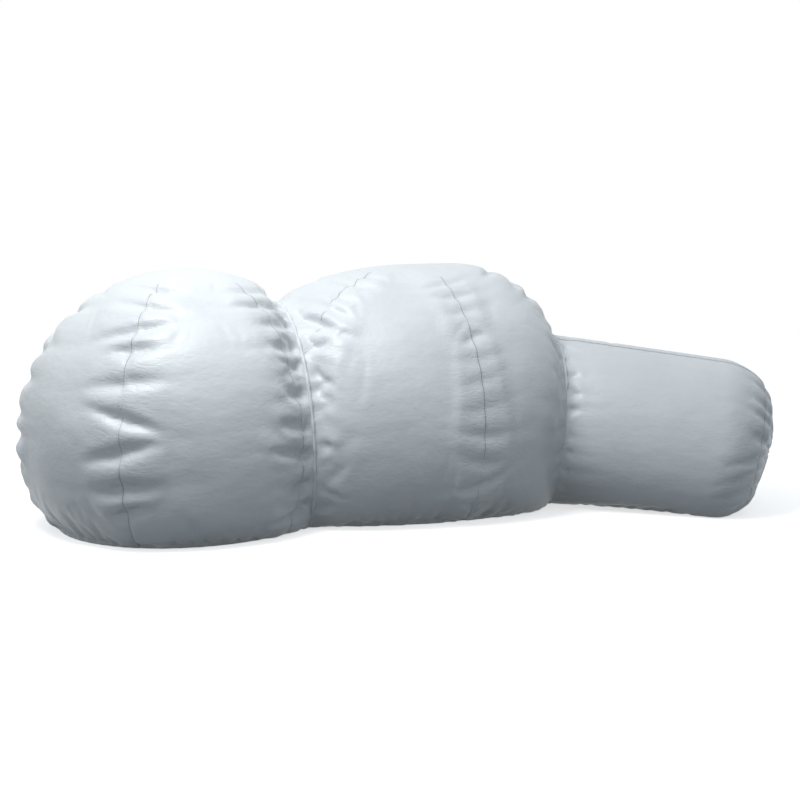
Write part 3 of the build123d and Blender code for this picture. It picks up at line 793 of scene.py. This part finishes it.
def silver_cloth():
    """Light coated polyester: soft gloss, fine crinkles, painted shade as a dark line along each seam crease, and
    stitches beside each seam.
    """
    finish = Finish("silver_cloth", roughness=0.4)
    cloudy = finish.noise(1.6, 3, 0.5)
    dust = finish.noise(9, 5, 0.6)
    dents = finish.noise(6, 3, 0.5, (1, 1, 1.6))
    crease_noise = finish.noise(11, 3, 0.45, (1, 1, 2.4))
    creases = (crease_noise - 0.5).math("ABSOLUTE").smooth(0, 0.09)
    fine = finish.noise(170, 2, 0.5)
    gap = Value(finish.tree, finish.node("ShaderNodeAttribute", {"attribute_name": "seam_gap"}).outputs["Fac"])
    height = Value(
        finish.tree,
        finish.node("ShaderNodeSeparateXYZ", Vector=finish.node("ShaderNodeTexCoord").outputs["Object"]).outputs["Z"],
    )
    # mask of the line along each seam: it darkens the colour as painted shade and also dents the bump
    seam = 1 - gap.smooth(0.001, 0.006)
    row = 1 - (gap - 0.011).math("ABSOLUTE").smooth(0.0008, 0.002)
    stitch = row * (height * (2 * math.pi / 0.012)).math("SINE").smooth(0.1, 0.6)
    near_seam = 1 - gap.smooth(0.05, 0.3)
    colour = finish.blend(cloudy.smooth(0.3, 0.7), grey(0.66, CLOTH_TINT), grey(0.72, CLOTH_TINT))
    colour = finish.blend(dust.smooth(0.55, 0.9) * 0.3, colour, grey(0.5, (1, 0.99, 0.96)))
    # painted shade: the seam crease is darkened in the cloth's colour
    colour = finish.blend(seam * 0.75, colour, grey(0.2, CLOTH_TINT))
    colour = finish.blend(stitch * 0.5, colour, grey(0.42, CLOTH_TINT))
    normal = finish.bump(dents, 0.016, 0.4)
    normal = finish.bump(creases * (near_seam * 0.7 + 0.3), 0.003, 0.25, normal)
    normal = finish.bump(fine - stitch * 3 - seam * 2, 0.0006, 0.5, normal)
    rough = 0.34 + cloudy * 0.14
    return finish.set(Base_Color=colour, Roughness=rough, Normal=normal).material


def webbing():
    """Woven polyester strap: a diagonal rib and slightly fuzzy yarn."""
    finish = Finish("webbing", roughness=0.75)
    along = finish.node("ShaderNodeTexWave", {"bands_direction": "DIAGONAL"}, Vector=finish.place(), Scale=110.0)
    rib = Value(finish.tree, along.outputs["Fac"])
    yarn = finish.noise(420, 3, 0.6)
    worn = finish.noise(30, 4, 0.6)
    colour = finish.blend(rib * 0.6 + worn * 0.3, grey(0.33, CLOTH_TINT), grey(0.55, CLOTH_TINT))
    normal = finish.bump(rib + yarn * 0.4, 0.0007, 0.8)
    return finish.set(Base_Color=colour, Normal=normal, Roughness=0.7 + worn * 0.15).material


def moulded(name, shade, spark=260, rough=0.45):
    """Moulded plastic with a fine spark-eroded grain, and lighter dust in patches set by noise."""
    finish = Finish(name, roughness=rough)
    grain = finish.noise(spark, 3, 0.6)
    dust = finish.noise(14, 5, 0.65)
    colour = finish.blend(dust.smooth(0.5, 0.85) * 0.5, grey(shade), grey(shade * 2.2 + 0.03, (1, 0.97, 0.92)))
    return finish.set(
        Base_Color=colour, Roughness=rough + dust * 0.2, Normal=finish.bump(grain, 0.0003, 0.5)
    ).material


def metal(name, colour, stretch=(1, 1, 18), rough=0.28):
    """Bare metal with drawn scratches and a few dull patches."""
    finish = Finish(name, metallic=1.0, roughness=rough)
    scratch = finish.noise(90, 4, 0.6, stretch)
    patch = finish.noise(40, 4, 0.6)
    dull = tuple(part * 0.62 for part in colour[:3]) + (1,)
    tone = finish.blend(patch.smooth(0.45, 0.8), colour, dull)
    return finish.set(
        Base_Color=tone, Roughness=rough + scratch * 0.2, Normal=finish.bump(scratch, 0.0002, 0.4)
    ).material


CLOTH_TINT = (0.95, 1.0, 1.03)
finishes = {
    "silver_cloth": silver_cloth(),
    "webbing": webbing(),
    "black_plastic": moulded("black_plastic", 0.03),
    "zip_plastic": moulded("zip_plastic", 0.16, 600, 0.35),
    "zinc": metal("zinc", (0.62, 0.63, 0.64, 1)),
    "brass": metal("brass", (0.78, 0.58, 0.28, 1), (1, 1, 1)),
    "bronze": metal("bronze", (0.5, 0.33, 0.18, 1), (1, 1, 1), 0.45),
    "steel": metal("steel", (0.56, 0.57, 0.58, 1)),
}
slot_of = {part["node"]: part["material_slot"] for part in frame["record"]["subparts"]}

for name, piece in cloth.items():
    piece.data.materials.append(finishes["silver_cloth"])
    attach(piece, "envelope")
    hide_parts(name)
    area = sum(face.area for face in piece.data.polygons)
    if name in ("neck_band", "hat_collar_band"):
        continue
    cut_area = area / 2 * (1 + EXCESS)
    width = min(1.08, math.sqrt(cut_area / 0.85)) if "tape" not in name else 0.03
    length = cut_area / (0.85 * width)

for name in frame["nodes"]:
    if name in cloth:
        continue
    node_object = bpy.data.objects[name]
    finish = finishes[slot_of[name]]
    node_object.data.materials.clear()
    node_object.data.materials.append(finish)


# ---- camera, floor and light ---------------------------------------------------------------------------

camera_data = bpy.data.cameras.new("camera")
camera = bpy.data.objects.new("camera", camera_data)
bpy.context.scene.collection.objects.link(camera)
camera.location = (-0.078, -6.153, 1.342)
camera.rotation_euler = (math.radians(90 - 5.59), 0, 0)
camera_data.lens = 40.5
camera_data.sensor_width = 36
bpy.context.scene.camera = camera

bpy.ops.object.select_all(action="DESELECT")
bpy.ops.mesh.primitive_plane_add(size=60)
floor = bpy.context.active_object
floor.name = "floor"


def seen_directly(tree):
    """1 for rays from the camera and for reflections, 0 for soft bounced light."""
    path = tree.nodes.new("ShaderNodeLightPath")
    rays = [Value(tree, path.outputs[ray]) for ray in ("Is Camera Ray", "Is Glossy Ray", "Is Transmission Ray")]
    return rays[0].math("MAXIMUM", rays[1]).math("MAXIMUM", rays[2])


def floor_material():
    """White where it is looked at, with the shadows kept, and slate grey to bounced light."""
    finish = Finish("floor", roughness=0.9)
    tree = finish.tree
    finish.set(Base_Color=grey(0.93), Emission_Color=grey(1.0), Emission_Strength=0.62)
    dark = finish.node("ShaderNodeBsdfDiffuse", Color=grey(0.12, (0.9, 1, 1.1)))
    mix = tree.nodes.new("ShaderNodeMixShader")
    tree.links.new(seen_directly(tree).socket, mix.inputs[0])
    tree.links.new(dark.outputs[0], mix.inputs[1])
    tree.links.new(finish.shader.outputs[0], mix.inputs[2])
    tree.links.new(mix.outputs[0], tree.nodes["Material Output"].inputs["Surface"])
    return finish.material


floor.data.materials.append(floor_material())


def lamp(name, place, target, size, power, colour=(1, 1, 1)):
    data = bpy.data.lights.new(name, "AREA")
    data.size = size
    data.energy = power
    data.color = colour
    made = bpy.data.objects.new(name, data)
    made.location = place
    made.rotation_euler = (Vector(target) - Vector(place)).to_track_quat("-Z", "Y").to_euler()
    bpy.context.scene.collection.objects.link(made)


lamp("overhead", (-1.8, -2.6, 5.6), (-0.2, 0, 0.5), 2.6, 250)

world = bpy.data.worlds.new("sky")
bpy.context.scene.world = world
world.use_nodes = True
sky_tree = world.node_tree
background = sky_tree.nodes["Background"]
sky_colour = sky_tree.nodes.new("ShaderNodeMix")
sky_colour.data_type = "RGBA"
sky_tree.links.new(seen_directly(sky_tree).socket, sky_colour.inputs[0])
sky_colour.inputs[6].default_value = (0.36, 0.40, 0.43, 1)
sky_colour.inputs[7].default_value = (1, 1, 1, 1)
sky_tree.links.new(sky_colour.outputs[2], background.inputs["Color"])
bpy.context.scene.view_settings.view_transform = "Standard"
